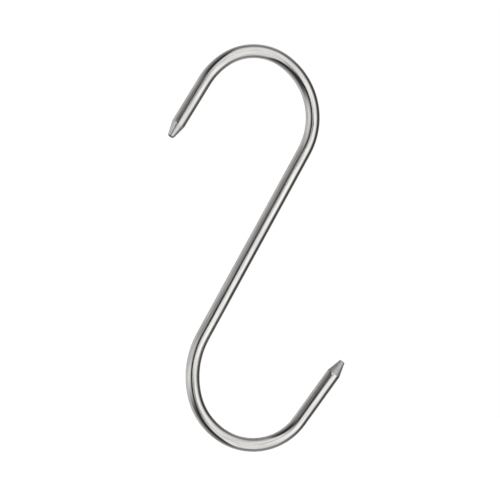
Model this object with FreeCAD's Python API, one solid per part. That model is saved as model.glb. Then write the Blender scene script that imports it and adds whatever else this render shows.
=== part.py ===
import FreeCAD, Part
import math
import os

# A meat hook: one round stainless bar, ground to a blunt cone at each end and bent cold into a flat
# S. It is a single piece of metal, so the model is a single solid. Sizes are in millimetres.
#
# Frame: the hook hangs as it does in use. +Z is up, the S lies in the XZ plane, and Y runs through
# the bar. The origin is the rail seat, the highest point inside the upper bend, where the hook
# rests on the rail that carries it.

BAR_DIAMETER = 5.0
BAR_RADIUS = BAR_DIAMETER / 2

# Upper bend, over the rail. Radii are to the bar's centre line and turns are in degrees. Each bend
# is a tight crown with an easier stretch on both sides, as a bar takes when it is pulled round a
# former. A bend is measured from its seat, where the centre line is level, out to both sides.
CROWN_R = 18.4
CROWN_TO_POINT = 33.6
CROWN_TO_SHANK = 36.7
BROW_R = 24.1
BROW_TURN = 24.9
SHOULDER_R = 25.0
SHOULDER_TURN = 82.0

# The straight between the bends. It is set by the upper bend to lean 28.7 degrees off the vertical.
SHANK = 75.0

# Lower bend, under the load.
HIP_R = 30.2
HIP_TURN = 43.3
BELLY_R = 22.6
BELLY_TURN = 45.3
CRADLE_R = 20.1
CRADLE_TO_SHANK = 30.1
CRADLE_TO_POINT = 54.2

# Straight legs, each from the end of its bend to the tip of its point.
UPPER_LEG = 23.5
LOWER_LEG = 26.4

# Ground points: length along the bar, width of the nose, and the round left on the nose's rim.
UPPER_POINT = 5.6
UPPER_NOSE = 2.2
UPPER_NOSE_ROUND = 0.9
LOWER_POINT = 5.5
LOWER_NOSE = 1.9
LOWER_NOSE_ROUND = 0.3


def toward(degrees):
    """Unit vector in the plane of the S, this many degrees above +X."""
    angle = math.radians(degrees)
    return FreeCAD.Vector(math.cos(angle), 0, math.sin(angle))


def straight(length):
    """A straight stretch of the centre line."""
    def draw(start, heading):
        end = start + toward(heading) * length
        return Part.LineSegment(start, end).toShape(), end, heading
    return draw


def bend(radius, turn):
    """A bent stretch of the centre line. A positive turn is to the left of the heading."""
    def draw(start, heading):
        outward = heading - math.copysign(90, turn)
        centre = start - toward(outward) * radius
        middle = centre + toward(outward + turn / 2) * radius
        end = centre + toward(outward + turn) * radius
        return Part.Arc(start, middle, end).toShape(), end, heading + turn
    return draw


def follow(start, heading, stretches):
    """Draws the stretches end to end: their edges, then the point and the heading reached."""
    edges = []
    for draw in stretches:
        edge, start, heading = draw(start, heading)
        edges.append(edge)
    return edges, start, heading


def ground_point(base, heading, length, nose_width, nose_round):
    """The blunt cone on one end of the bar, standing on base and pointing along heading."""
    axis = FreeCAD.Vector(1, 0, 0)
    cone = Part.makeCone(BAR_RADIUS, nose_width / 2, length, FreeCAD.Vector(), axis)
    rim = [edge for edge in cone.Edges if is_ring(edge, nose_width / 2)]
    cone = cone.makeFillet(nose_round, rim)
    cone.rotate(FreeCAD.Vector(), FreeCAD.Vector(0, -1, 0), heading)
    cone.translate(base)
    return cone


def is_ring(edge, radius):
    """Whether the edge is a full circle of this radius."""
    return isinstance(edge.Curve, Part.Circle) and math.isclose(edge.Curve.Radius, radius)


def make_hook_bar():
    """The bar with both bends and both points, as one solid."""
    seat = FreeCAD.Vector(0, 0, BAR_RADIUS)
    point_side = [
        bend(CROWN_R, CROWN_TO_POINT),
        bend(BROW_R, BROW_TURN),
        straight(UPPER_LEG - UPPER_POINT),
    ]
    shank_side = [
        bend(CROWN_R, -CROWN_TO_SHANK),
        bend(SHOULDER_R, -SHOULDER_TURN),
        straight(SHANK),
        bend(HIP_R, HIP_TURN),
        bend(BELLY_R, BELLY_TURN),
        bend(CRADLE_R, CRADLE_TO_SHANK + CRADLE_TO_POINT),
        straight(LOWER_LEG - LOWER_POINT),
    ]
    upper_edges, upper_end, upper_heading = follow(seat, 180, point_side)
    lower_edges, lower_end, lower_heading = follow(seat, 0, shank_side)
    spine = Part.Wire(Part.__sortEdges__(upper_edges + lower_edges))
    section = Part.Wire(Part.makeCircle(BAR_RADIUS, upper_end, toward(upper_heading)))
    bar = spine.makePipeShell([section], True, False)
    upper = ground_point(upper_end, upper_heading, UPPER_POINT, UPPER_NOSE, UPPER_NOSE_ROUND)
    lower = ground_point(lower_end, lower_heading, LOWER_POINT, LOWER_NOSE, LOWER_NOSE_ROUND)
    hook = bar.fuse([upper, lower]).removeSplitter()
    print("bar cut to", round(spine.Length + UPPER_POINT + LOWER_POINT, 1), "mm before bending")
    return hook.Solids[0]


os.makedirs("parts", exist_ok=True)
hook_bar = make_hook_bar()
hook_bar.exportStep("parts/hook_bar.step")
size = hook_bar.optimalBoundingBox()
print("hook_bar", round(size.XLength, 1), "x", round(size.YLength, 1), "x", round(size.ZLength, 1), "mm")
print("solids", len(hook_bar.Solids), "valid", hook_bar.isValid(), "volume", round(hook_bar.Volume, 1))
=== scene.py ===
# %% [markdown]
# # A meat hook in polished steel
#
# The hook is one round stainless bar, ground to a blunt cone at each end and bent into a flat S. It
# hangs from a rail by its upper bend and carries meat on its lower one. Nothing on it moves, so
# there is only one piece to make. The work is in its line, its two points and its polish.
#
# The frame gives the hook's place and size. The box of the frame's own shape is kept here, to
# compare with the finished hook at the end.

# %% Load the frame and keep its box
import math

import bmesh
import bpy
from mathutils import Matrix, Vector


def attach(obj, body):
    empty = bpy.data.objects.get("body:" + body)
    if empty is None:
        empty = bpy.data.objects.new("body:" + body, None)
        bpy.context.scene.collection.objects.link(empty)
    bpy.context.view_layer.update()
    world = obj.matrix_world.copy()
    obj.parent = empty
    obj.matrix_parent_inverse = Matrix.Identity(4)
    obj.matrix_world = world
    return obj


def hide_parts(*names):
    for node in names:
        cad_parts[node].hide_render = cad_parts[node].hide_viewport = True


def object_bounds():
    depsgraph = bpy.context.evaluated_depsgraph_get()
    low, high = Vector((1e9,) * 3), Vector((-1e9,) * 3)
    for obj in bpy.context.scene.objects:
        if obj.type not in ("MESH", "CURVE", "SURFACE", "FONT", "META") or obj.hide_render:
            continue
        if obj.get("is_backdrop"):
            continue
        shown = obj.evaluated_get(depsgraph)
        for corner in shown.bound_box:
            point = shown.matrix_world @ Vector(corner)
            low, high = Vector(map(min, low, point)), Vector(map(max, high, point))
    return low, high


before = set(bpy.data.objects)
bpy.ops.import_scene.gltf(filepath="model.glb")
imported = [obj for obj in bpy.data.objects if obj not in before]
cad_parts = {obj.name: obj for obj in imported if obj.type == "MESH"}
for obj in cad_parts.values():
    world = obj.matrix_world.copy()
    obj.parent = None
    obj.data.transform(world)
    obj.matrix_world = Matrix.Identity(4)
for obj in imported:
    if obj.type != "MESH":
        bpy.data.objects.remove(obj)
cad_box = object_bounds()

print("hook in the frame, mm:", [round(side * 1000, 1) for side in cad_box[1] - cad_box[0]])

# %% [markdown]
# ## The bend table
#
# A hook maker works from a table: so much straight bar, then a bend of so many degrees round a
# former of such a radius. Such a table drives this model, from the upper tip to the lower one.
# The S could also be traced as a free curve, but then its bends would wobble and its two seats
# would drift off the vertical line that they share.

# %% The stretches of the bar
MM = 0.001
BAR_R = 2.5 * MM

# Name, then length of a straight or radius of a bend, then turn in degrees, left positive.
STRETCHES = [
    ("upper leg", 23.5 * MM, 0.0),
    ("brow", 24.1 * MM, -24.9),
    ("crown", 18.4 * MM, -70.3),
    ("shoulder", 25.0 * MM, -82.0),
    ("shank", 75.0 * MM, 0.0),
    ("hip", 30.2 * MM, 43.3),
    ("belly", 22.6 * MM, 45.3),
    ("cradle", 20.1 * MM, 84.3),
    ("lower leg", 26.4 * MM, 0.0),
]
UPPER_LEG_RISE = 58.5       # degrees above level, walking away from the tip
CROWN_TO_SEAT = 33.6        # degrees of the crown on the near side of the rail


def stretch_length(size, turn):
    """A straight's size is its length, and a bend's size is its radius."""
    return math.radians(abs(turn)) * size if turn else size


bar_length = sum(stretch_length(size, turn) for _, size, turn in STRETCHES)
print("bar before bending, mm:", round(bar_length / MM, 1))

# %% [markdown]
# ## The centre line
#
# Bending needs one question answered: after this much bar from the upper tip, where is the centre
# line, and which way does it head? The table answers it. In a bend, the line turns about a centre
# that lies one radius to the side.
#
# Cold bar doesn't go from straight to bent at a sharp mark, though: it starts to give a little
# before the former takes it. So place and heading are averaged over a few millimetres of bar. That
# keeps the reflections in the polish flowing from a straight into a bend.

# %% Where the bar is, and which way it heads
EASE = 1.5 * MM             # bar that gives on each side of a mark
EASE_SAMPLES = 8


def toward(degrees):
    """Unit vector in the plane of the S, this many degrees above +X."""
    return Vector((math.cos(math.radians(degrees)), 0, math.sin(math.radians(degrees))))


def marked_line(distance):
    """The table's own place and heading in degrees, this far from the upper tip."""
    place, heading = Vector(), UPPER_LEG_RISE
    for number, (_, size, turn) in enumerate(STRETCHES):
        length = stretch_length(size, turn)
        last = number == len(STRETCHES) - 1
        here = distance if last else min(distance, length)
        if turn:
            outward = heading - math.copysign(90, turn)
            heading += turn * here / length
            place += (toward(heading - math.copysign(90, turn)) - toward(outward)) * size
        else:
            place += toward(heading) * here
        distance -= here
        if not distance:
            break
    return place, heading


def eased_line(distance):
    """The bar's own place and heading, eased into and out of every bend."""
    around = [marked_line(distance + EASE * (2 * step / EASE_SAMPLES - 1))
              for step in range(EASE_SAMPLES + 1)]
    place = sum((place for place, _ in around), Vector()) / len(around)
    return place, sum(heading for _, heading in around) / len(around)


upper_leg, brow, crown = (stretch_length(size, turn) for _, size, turn in STRETCHES[:3])
seat_distance = upper_leg + brow + crown * CROWN_TO_SEAT / abs(STRETCHES[2][2])
seat_place, seat_heading = eased_line(seat_distance)
over_the_rail = Vector((0, 0, BAR_R)) - seat_place
print("over the rail, heading", round(seat_heading, 2), "after mm", round(seat_distance / MM, 1))

# %% [markdown]
# ## The blank
#
# The real hook starts as a straight bar, turned against a grinding wheel for its two points. The
# model starts the same way, as a turner would draw it: half the outline of the blank, with its
# corners rounded, is spun once round the X axis. Extruding a ring along the finished S would also
# give the shape, but each corner of a straight blank can remember where it was before bending, and
# the polish needs that: its fine lines were drawn along the straight bar.

# %% Draw half the outline and round its corners
AROUND = 64                 # facets round the bar
STEP = 0.5 * MM             # between the rings of the bar
CONE_STEPS = 12

# Length of each ground point, width of its nose and the round left on the nose's rim.
UPPER_POINT, UPPER_NOSE, UPPER_NOSE_ROUND = 5.6 * MM, 2.2 * MM, 0.9 * MM
LOWER_POINT, LOWER_NOSE, LOWER_NOSE_ROUND = 5.5 * MM, 1.9 * MM, 0.3 * MM
SHOULDER_ROUND = 2.5 * MM   # radius where a cone meets the bar

blank = bmesh.new()


def round_corner(corner, radius, pieces):
    """Replaces a corner of the outline by an arc."""
    before, after = (edge.other_vert(corner).co - corner.co for edge in corner.link_edges)
    half_turn = (math.pi - before.angle(after)) / 2
    bmesh.ops.bevel(blank, geom=[corner], offset=radius * math.tan(half_turn), segments=pieces,
                    profile=0.5, affect="VERTICES", material=-1)


OUTLINE = [
    (0, 0), (0, UPPER_NOSE / 2), (UPPER_POINT, BAR_R),
    (bar_length - LOWER_POINT, BAR_R), (bar_length, LOWER_NOSE / 2), (bar_length, 0),
]
corners = [blank.verts.new((along, 0, out)) for along, out in OUTLINE]
for pair in zip(corners, corners[1:]):
    blank.edges.new(pair)
for corner, radius, pieces in [(corners[1], UPPER_NOSE_ROUND, 8), (corners[2], SHOULDER_ROUND, 3),
                               (corners[3], SHOULDER_ROUND, 3), (corners[4], LOWER_NOSE_ROUND, 4)]:
    round_corner(corner, radius, pieces)

*_, short_cone, long_cone, bar = sorted(blank.edges, key=lambda edge: edge.calc_length())
bar_steps = int(bar.calc_length() / STEP)
bmesh.ops.subdivide_edges(blank, edges=[short_cone, long_cone], cuts=CONE_STEPS)
bar = max(blank.edges, key=lambda edge: edge.calc_length())
bmesh.ops.subdivide_edges(blank, edges=[bar], cuts=bar_steps)
print("outline points:", len(blank.verts))

# %% Spin the outline into the blank
MERGE = 0.001 * MM          # corners this close are one

bmesh.ops.spin(blank, geom=blank.verts[:] + blank.edges[:], cent=(0, 0, 0), axis=(1, 0, 0),
               angle=math.tau, steps=AROUND, use_merge=True)
bmesh.ops.remove_doubles(blank, verts=blank.verts, dist=MERGE)
bmesh.ops.recalc_face_normals(blank, faces=blank.faces)
print("blank, mm3:", round(blank.calc_volume() / MM ** 3, 1), "open edges:",
      sum(not edge.is_manifold for edge in blank.edges))

# %% [markdown]
# ## Bending
#
# Before the bar is bent, every corner of the mesh notes where it is on the blank. Then each ring of
# corners is carried as one stiff plate from its place on the straight bar to its place on the S.
# A curve modifier would bend the bar too, but it would leave the amount of stretch to guesswork,
# and here the plates stay square to the centre line, so the bar keeps its 5 mm everywhere.

# %% Carry each ring of the blank onto the S
drawn = blank.verts.layers.float_vector.new("drawn")
rings = {}
for vert in blank.verts:
    vert[drawn] = vert.co
    rings.setdefault(round(vert.co.x / MM, 4), []).append(vert)

for ring in rings.values():
    distance = ring[0].co.x
    place, heading = eased_line(distance)
    laid_back = Matrix.Translation((-distance, 0, 0))
    turned = Matrix.Rotation(-math.radians(heading), 4, "Y")
    put_down = Matrix.Translation(place + over_the_rail)
    bmesh.ops.transform(blank, matrix=put_down @ turned @ laid_back, verts=ring)

for face in blank.faces:
    face.smooth = True

mesh = bpy.data.meshes.new("meat_hook")
blank.to_mesh(mesh)
blank.free()
hook = bpy.data.objects.new("meat_hook", mesh)
bpy.context.scene.collection.objects.link(hook)

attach(hook, "root")
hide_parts("hook_bar")
print("rings:", len(rings), "faces:", len(mesh.polygons))

# %% [markdown]
# ## Helpers for node trees
#
# The finish and the studio are both worked out with shader nodes. Four helpers keep that short. One
# adds a node and feeds its inputs, with a number or with another node's output, and one does so for
# a sum or another bit of arithmetic. One fades smoothly from a value to another while a third passes
# between two limits, and the last blends two values evenly. The nodes could be placed and linked by
# hand in the editor, but a tree of this size is easier to read as short lines.

# %% Four small helpers
def add_node(tree, kind, inputs, **settings):
    """Adds a node, feeds its inputs and returns its first output, if it has one."""
    node = tree.nodes.new(kind)
    for name, value in settings.items():
        setattr(node, name, value)
    for name, value in inputs.items():
        if isinstance(value, bpy.types.NodeSocket):
            tree.links.new(value, node.inputs[name])
        else:
            node.inputs[name].default_value = value
    return next(iter(node.outputs), None)


def maths(tree, operation, *values):
    """Adds a Math node, fed with these values in order."""
    return add_node(tree, "ShaderNodeMath", dict(enumerate(values)), operation=operation)


def fade(tree, value, start, end, before, after):
    """Goes smoothly from before to after while value passes from start to end."""
    limits = {"Value": value, "From Min": start, "From Max": end, "To Min": before, "To Max": after}
    return add_node(tree, "ShaderNodeMapRange", limits, interpolation_type="SMOOTHSTEP")


def blend(tree, share, first, second):
    """first where share is 0, second where it is 1."""
    limits = {"Value": share, "To Min": first, "To Max": second}
    return add_node(tree, "ShaderNodeMapRange", limits)


# %% [markdown]
# ## The polish
#
# The bar is drawn through a die and then polished lengthwise, so its shine is crossed by fine lines
# that run along it, some of them nearly a centimetre long. Hands and cloths leave it a little
# cloudier here and there. The points are ground across the bar, so marks run round them. The upper
# point gets a brighter finish, as if it had been buffed after the wheel, all but its nose, which is
# painted near black as painted shade for a dark reflection on its rim. The lower one, which goes into
# the meat, is left dull, and its grey is painted shade, darker than the bar's.
#
# The lines could be painted along a UV map, but a UV map has a seam. The place that each corner
# noted on the blank has none, so noise stretched along the blank's X follows the bar round every
# bend.

# %% Noises that follow the bar
steel = bpy.data.materials.new("polished_steel")
steel.use_nodes = True
tree = steel.node_tree
shader = tree.nodes["Principled BSDF"]
shader.inputs["Metallic"].default_value = 1.0

on_blank = add_node(tree, "ShaderNodeAttribute", {}, attribute_name="drawn")
on_blank = on_blank.node.outputs["Vector"]
along_bar = add_node(tree, "ShaderNodeSeparateXYZ", {"Vector": on_blank})


def stretched_noise(length, width, detail):
    """Noise in patches of this length along the bar and this width across it."""
    scaled = add_node(tree, "ShaderNodeMapping", {
        "Vector": on_blank, "Scale": (1 / length, 1 / width, 1 / width)})
    return add_node(tree, "ShaderNodeTexNoise", {"Vector": scaled, "Scale": 1.0, "Detail": detail})


# Length along the bar, width across it, and detail.
streaks = stretched_noise(9 * MM, 0.5 * MM, 3.0)
hairlines = stretched_noise(8 * MM, 0.09 * MM, 2.0)
clouds = stretched_noise(9 * MM, 3 * MM, 2.0)
wheel_marks = stretched_noise(0.16 * MM, 2.5 * MM, 2.0)
print("noises:", [node.name for node in tree.nodes if node.type == "TEX_NOISE"])

# %% Where the wheel has been
ON_BAR, ON_CONE = 0.2 * MM, 0.3 * MM    # how far the wheel's edge fades on each side
NOSE_FADE = 0.35 * MM, 0.9 * MM         # how far from the upper tip its nose fades out

far_edge = bar_length - LOWER_POINT
near_tip = fade(tree, along_bar, UPPER_POINT - ON_CONE, UPPER_POINT + ON_BAR, 1.0, 0.0)
far_tip = fade(tree, along_bar, far_edge - ON_BAR, far_edge + ON_CONE, 0.0, 1.0)
nose = fade(tree, along_bar, *NOSE_FADE, 1.0, 0.0)
ground = maths(tree, "MAXIMUM", near_tip, far_tip)
print("ground from the tips, mm:", round(UPPER_POINT / MM, 1), "and", round(LOWER_POINT / MM, 1))

# %% Shades of the polish and the buffed point, and painted shade on the dull point and the nose
CRISP, SOFT = (0.4, 0.6), (0.3, 0.7)    # parts of a noise's range that a shade fades over
# Painted shade: the upper nose is painted near black, a painted reflection of a dark rim.
NOSE_PAINTED_SHADE = 0.26
GREEN, BLUE = 0.978, 0.955              # of red, which makes the grey faintly warm

bar_shade = fade(tree, streaks, *CRISP, 0.54, 0.68)
buffed_shade = fade(tree, wheel_marks, *SOFT, 0.54, 0.66)
# Painted shade: the lower point's grey is painted darker than the bar's, though it is the same steel.
lower_point_painted_shade = fade(tree, wheel_marks, *SOFT, 0.46, 0.58)
shade = blend(tree, near_tip, bar_shade, buffed_shade)
# These two blends lay painted shade on the lower point and on the upper nose.
shade = blend(tree, far_tip, shade, lower_point_painted_shade)
shade = blend(tree, nose, shade, NOSE_PAINTED_SHADE)
colour = add_node(tree, "ShaderNodeCombineColor", {
    "Red": shade,
    "Green": maths(tree, "MULTIPLY", shade, GREEN),
    "Blue": maths(tree, "MULTIPLY", shade, BLUE)})
tree.links.new(colour, shader.inputs["Base Color"])
print("nose shade:", NOSE_PAINTED_SHADE, "green and blue of red:", GREEN, BLUE)

# %% Their roughness and relief
BUFFED_ROUGHNESS, NOSE_ROUGHNESS = 0.32, 0.3
HAIRLINE_DEPTH = 0.3        # of the streaks' depth
RELIEF = {"Strength": 0.15, "Distance": 0.01 * MM}

roughness = maths(tree, "ADD", fade(tree, clouds, *SOFT, 0.06, 0.11),
                  fade(tree, hairlines, *SOFT, 0.0, 0.04))
roughness = blend(tree, near_tip, roughness, BUFFED_ROUGHNESS)
roughness = blend(tree, far_tip, roughness, fade(tree, wheel_marks, *SOFT, 0.52, 0.60))
tree.links.new(blend(tree, nose, roughness, NOSE_ROUGHNESS), shader.inputs["Roughness"])

lines = maths(tree, "ADD", streaks, maths(tree, "MULTIPLY", hairlines, HAIRLINE_DEPTH))
relief = blend(tree, ground, lines, wheel_marks)
bump = add_node(tree, "ShaderNodeBump", {"Height": relief, **RELIEF})
tree.links.new(bump, shader.inputs["Normal"])
mesh.materials.append(steel)
print("material nodes:", len(tree.nodes))

# %% [markdown]
# ## The studio
#
# Polished steel has almost no colour of its own: it shows the room. The studio is a pale sweep
# behind the hook, one big soft light round the camera, a black flag on the right, and on the left a
# dark card folded to a V, with light inside the fold. These give the bar its white stripe between
# two dark lines. A smaller light with a dark surround stands behind the hook, and gives its back
# some contrast too. Cards could be built as lit planes, but a studio worked out on the world's
# sphere is smooth, gives no noise, and is the same for every part of the hook.
#
# Each direction is measured as its angle from the way back to the camera, split into a part to the
# left and a part upward, all in degrees. A direction's rightness is 1 for dead right and -1 for
# dead left. Each pair of limits below says where one light or card fades into the next.

# %% The sphere of directions
NOT_ZERO = 0.001            # keeps a division by it safe

world = bpy.data.worlds.new("studio")
world.use_nodes = True
bpy.context.scene.world = world
sky = world.node_tree
sky.nodes.clear()

direction = add_node(sky, "ShaderNodeTexCoord", {})
split = add_node(sky, "ShaderNodeSeparateXYZ", {"Vector": direction}).node.outputs
right, away, up = split["X"], split["Y"], split["Z"]
from_camera = maths(sky, "DEGREES", maths(sky, "ARCCOSINE", maths(sky, "MULTIPLY", away, -1.0)))
off_axis = maths(sky, "SQRT", maths(sky, "ADD", maths(sky, "MULTIPLY", right, right),
                                    maths(sky, "MULTIPLY", up, up)))
rightness = maths(sky, "DIVIDE", right, maths(sky, "MAXIMUM", off_axis, NOT_ZERO))
upness = maths(sky, "DIVIDE", up, maths(sky, "MAXIMUM", off_axis, NOT_ZERO))
leftward = maths(sky, "MULTIPLY", maths(sky, "MULTIPLY", from_camera, rightness), -1.0)
upward = maths(sky, "MULTIPLY", from_camera, upness)
steepness = maths(sky, "ABSOLUTE", upward)
print("directions measured with", len(sky.nodes), "nodes")

# %% Front light, room, sweep and flag
FRONT_LIGHT = 1.16
FRONT_RIGHT = 1.22          # times as bright 50 degrees to the right
FRONT_LOW, FRONT_HIGH = 1.06, 0.88    # times as bright 30 degrees down and 60 up
ROOM, SWEEP = 0.27, 0.61
FLAG, FLAG_BACK = 0.06, 0.21
LEFT_WALL, LEFT_BACK = 0.78, 0.30

# Limits of each fade: from the camera, then in rightness, leftward and upward.
ROOM_TO_SWEEP, FLAG_TO_BACK, WALL_TO_BACK = (102, 126), (111, 131), (125, 167)
ROOM_TO_FLAG, ROOM_TO_WALL = (0.27, 0.96), (-0.5, -1.0)
TO_THE_RIGHT, LOW_TO_HIGH = (0, -50), (-30, 60)
FRONT_EDGE = 48, 90         # from the camera

room = fade(sky, from_camera, *ROOM_TO_SWEEP, ROOM, SWEEP)
flag = fade(sky, from_camera, *FLAG_TO_BACK, FLAG, FLAG_BACK)
wall = fade(sky, from_camera, *WALL_TO_BACK, LEFT_WALL, LEFT_BACK)
behind = fade(sky, rightness, *ROOM_TO_FLAG, room, flag)
behind = fade(sky, rightness, *ROOM_TO_WALL, behind, wall)
front = fade(sky, leftward, *TO_THE_RIGHT, FRONT_LIGHT, FRONT_LIGHT * FRONT_RIGHT)
front = maths(sky, "MULTIPLY", front, fade(sky, upward, *LOW_TO_HIGH, FRONT_LOW, FRONT_HIGH))
studio = fade(sky, from_camera, *FRONT_EDGE, front, behind)
print("front light ends, degrees from the camera:", FRONT_EDGE)

# %% A smaller light for the hook's back, with a dark surround
BACK_LIGHT, BACK_DARK = 1.3, 0.12
INTO_DARK, INTO_LIGHT = (134, 146), (150, 162)

studio = fade(sky, from_camera, *INTO_DARK, studio, BACK_DARK)
studio = fade(sky, from_camera, *INTO_LIGHT, studio, BACK_LIGHT)
print("back light starts, degrees from the camera:", INTO_LIGHT)

# %% The folded card on the left
CARD, CARD_FAR = 0.03, 0.12
FOLD_LIGHT = 1.0
CARD_TO_FAR, CARD_TO_LIGHT = (30, 61), (18, 46)     # leftward
LEVEL = 0.01                # blends the fold's lower half into its upper one
SLOPE_EASE = 5.0            # keeps the slope finite near the camera
FOLD_BELOW, FOLD_ABOVE = 0.47, 0.86                 # slope up to which the fold is lit

above = fade(sky, up, -LEVEL, LEVEL, 0.0, 1.0)
card = fade(sky, leftward, *CARD_TO_FAR, CARD, CARD_FAR)
fold_light = fade(sky, leftward, *CARD_TO_LIGHT, CARD, FOLD_LIGHT)
leftness = maths(sky, "ADD", maths(sky, "ABSOLUTE", leftward), SLOPE_EASE)
slope = maths(sky, "DIVIDE", steepness, leftness)
fold = blend(sky, above, FOLD_BELOW, FOLD_ABOVE)
inside = fade(sky, slope, 0.0, fold, fold_light, card)
print("fold lit up to slopes:", FOLD_BELOW, FOLD_ABOVE)

# %% The card's edge, and the card in its place
# Level with the camera, the card's tip reaches past it to the right. Above and below, its edge
# falls back to the left, so that its outline is a V lying on its side.
TIP_REACH, FALL_BACK, TIP_WIDTH = 30.0, 56.0, 3.3
EDGE_SOFTNESS = 6.8
CARD_END = 60, 115
CLEAR_OF_CAMERA, NEAR_CAMERA = (1, 7), 0.15         # the card is faint straight ahead

fallen = maths(sky, "DIVIDE", maths(sky, "MULTIPLY", steepness, FALL_BACK),
               maths(sky, "ADD", steepness, TIP_WIDTH))
card_edge = maths(sky, "SUBTRACT", fallen, TIP_REACH)
past_edge = maths(sky, "SUBTRACT", leftward, card_edge)
on_card = fade(sky, past_edge, -EDGE_SOFTNESS, EDGE_SOFTNESS, 0.0, 1.0)
on_card = maths(sky, "MULTIPLY", on_card, fade(sky, from_camera, *CARD_END, 1.0, 0.0))
on_card = maths(sky, "MULTIPLY", on_card,
                fade(sky, from_camera, *CLEAR_OF_CAMERA, NEAR_CAMERA, 1.0))
studio = fade(sky, on_card, 0, 1, studio, inside)
print("studio nodes:", len(sky.nodes))

# %% Hang the studio, white for the camera
for_steel = add_node(sky, "ShaderNodeBackground", {"Color": studio})
for_eye = add_node(sky, "ShaderNodeBackground", {"Color": (1, 1, 1, 1)})
seen = add_node(sky, "ShaderNodeLightPath", {})
mixed = add_node(sky, "ShaderNodeMixShader", {0: seen, 1: for_steel, 2: for_eye})
add_node(sky, "ShaderNodeOutputWorld", {"Surface": mixed})
bpy.context.scene.view_settings.view_transform = "Standard"
print("studio nodes in all:", len(sky.nodes))

# %% [markdown]
# ## Floor
#
# The hook hangs, so the floor is only a pale ground well below it. A soft lamp from above lights it
# and throws the hook's faint shadow there. Both are kept out of the steel's reflections, because the
# studio above already holds all the light that the steel shows.

# %% Pale floor and the lamp above
FLOOR_DROP = 110 * MM       # from the lowest point of the hook
FLOOR_SIZE = 6.0            # metres
PALE = (0.85, 0.85, 0.85, 1)
LAMP_STRENGTH, LAMP_SOFTNESS = 2.6, 9       # watts per square metre, degrees
LAMP_TILT = 20, -12, 0                      # degrees about X, Y and Z

floor_bm = bmesh.new()
floor_at = Matrix.Translation((0, 0, cad_box[0].z - FLOOR_DROP))
bmesh.ops.create_grid(floor_bm, x_segments=1, y_segments=1, size=FLOOR_SIZE / 2, matrix=floor_at)
floor_mesh = bpy.data.meshes.new("floor")
floor_bm.to_mesh(floor_mesh)
floor_bm.free()
floor = bpy.data.objects.new("floor", floor_mesh)
floor.visible_glossy = False
bpy.context.scene.collection.objects.link(floor)
floor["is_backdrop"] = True

paint = bpy.data.materials.new("pale_paint")
paint.use_nodes = True
paint_shader = paint.node_tree.nodes["Principled BSDF"]
paint_shader.inputs["Base Color"].default_value = PALE
paint_shader.inputs["Roughness"].default_value = 0.9
paint_shader.inputs["Specular IOR Level"].default_value = 0.0
floor_mesh.materials.append(paint)

lamp_data = bpy.data.lights.new("lamp", "SUN")
lamp_data.energy = LAMP_STRENGTH
lamp_data.angle = math.radians(LAMP_SOFTNESS)
lamp = bpy.data.objects.new("lamp", lamp_data)
lamp.rotation_euler = [math.radians(tilt) for tilt in LAMP_TILT]
lamp.visible_glossy = False
bpy.context.scene.collection.objects.link(lamp)
print("floor at z, mm:", round((cad_box[0].z - FLOOR_DROP) / MM, 1))

# %% [markdown]
# ## Camera
#
# The hook is seen square-on, through a long lens from far off, so that both bends show the same
# width of bar and all of it mirrors the studio alike.

# %% Square-on camera
VIEW_WIDTH = 177.95 * MM
VIEW_CENTRE = Vector((-1.30, 0, -68.27)) * MM
LENS = 300                  # focal length, mm

camera_data = bpy.data.cameras.new("camera")
camera_data.lens = LENS
distance = VIEW_WIDTH * LENS / camera_data.sensor_width
camera = bpy.data.objects.new("camera", camera_data)
camera.location = VIEW_CENTRE + Vector((0, -distance, 0))
camera.rotation_euler = (math.radians(90), 0, 0)
bpy.context.scene.collection.objects.link(camera)
bpy.context.scene.camera = camera
print("camera stands off, mm:", round(distance / MM))

# %% [markdown]
# ## Compare the sizes
#
# The finished hook has to fill the same box as the frame's own.

# %% Sizes of the two boxes
visual_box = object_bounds()
boxes = {"cad": [list(corner) for corner in cad_box], "visual": [list(corner) for corner in visual_box]}
for name, corners_of_box in boxes.items():
    print(name, [[round(value / MM, 2) for value in corner] for corner in corners_of_box])
